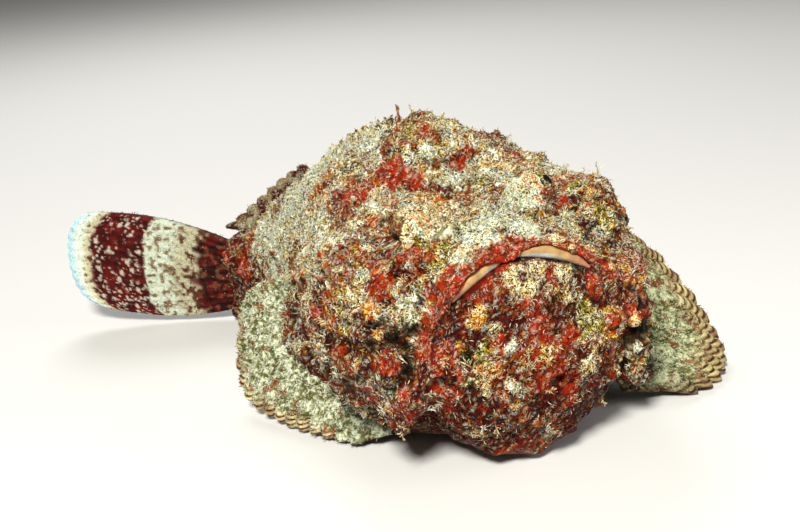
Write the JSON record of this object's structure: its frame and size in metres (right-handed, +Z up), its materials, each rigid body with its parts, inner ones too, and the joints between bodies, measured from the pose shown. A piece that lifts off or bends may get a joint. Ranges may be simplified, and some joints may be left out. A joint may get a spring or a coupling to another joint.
{
  "type": "stonefish",
  "caption": "Reef stonefish at rest on its belly: broad warty head with an upturned mouth and raised eyes, spread breast fins, low spiny back fin and a tail curled to one side",
  "frame": {"origin": "on the floor, under the centre of the whole fish's bounding box", "axes": "+Z up; the head looks along -Y, so the fish's right side is -X; the tail curls towards -X"},
  "size_m": [0.2154, 0.2334, 0.1049],
  "materials": {
    "skin": "wet, warty skin mottled cream, red and brown",
    "fin_skin": "thick fin skin, banded cream and red",
    "mouth_lining": "smooth wet lining",
    "eye": "wet and glossy"
  },
  "bodies": {
    "root": {"head": "skin", "lower_jaw": "skin", "trunk": "skin", "tail_stalk": "skin", "eye_right": "eye", "eye_left": "eye", "mouth_lining_right": "mouth_lining", "mouth_lining_left": "mouth_lining", "pectoral_fin_right": "fin_skin", "pectoral_fin_left": "fin_skin", "pelvic_fin_right": "fin_skin", "pelvic_fin_left": "fin_skin", "spiny_dorsal_fin": "fin_skin", "soft_dorsal_fin": "fin_skin", "anal_fin": "fin_skin", "tail_fin": "fin_skin"}
  },
  "joints": []
}
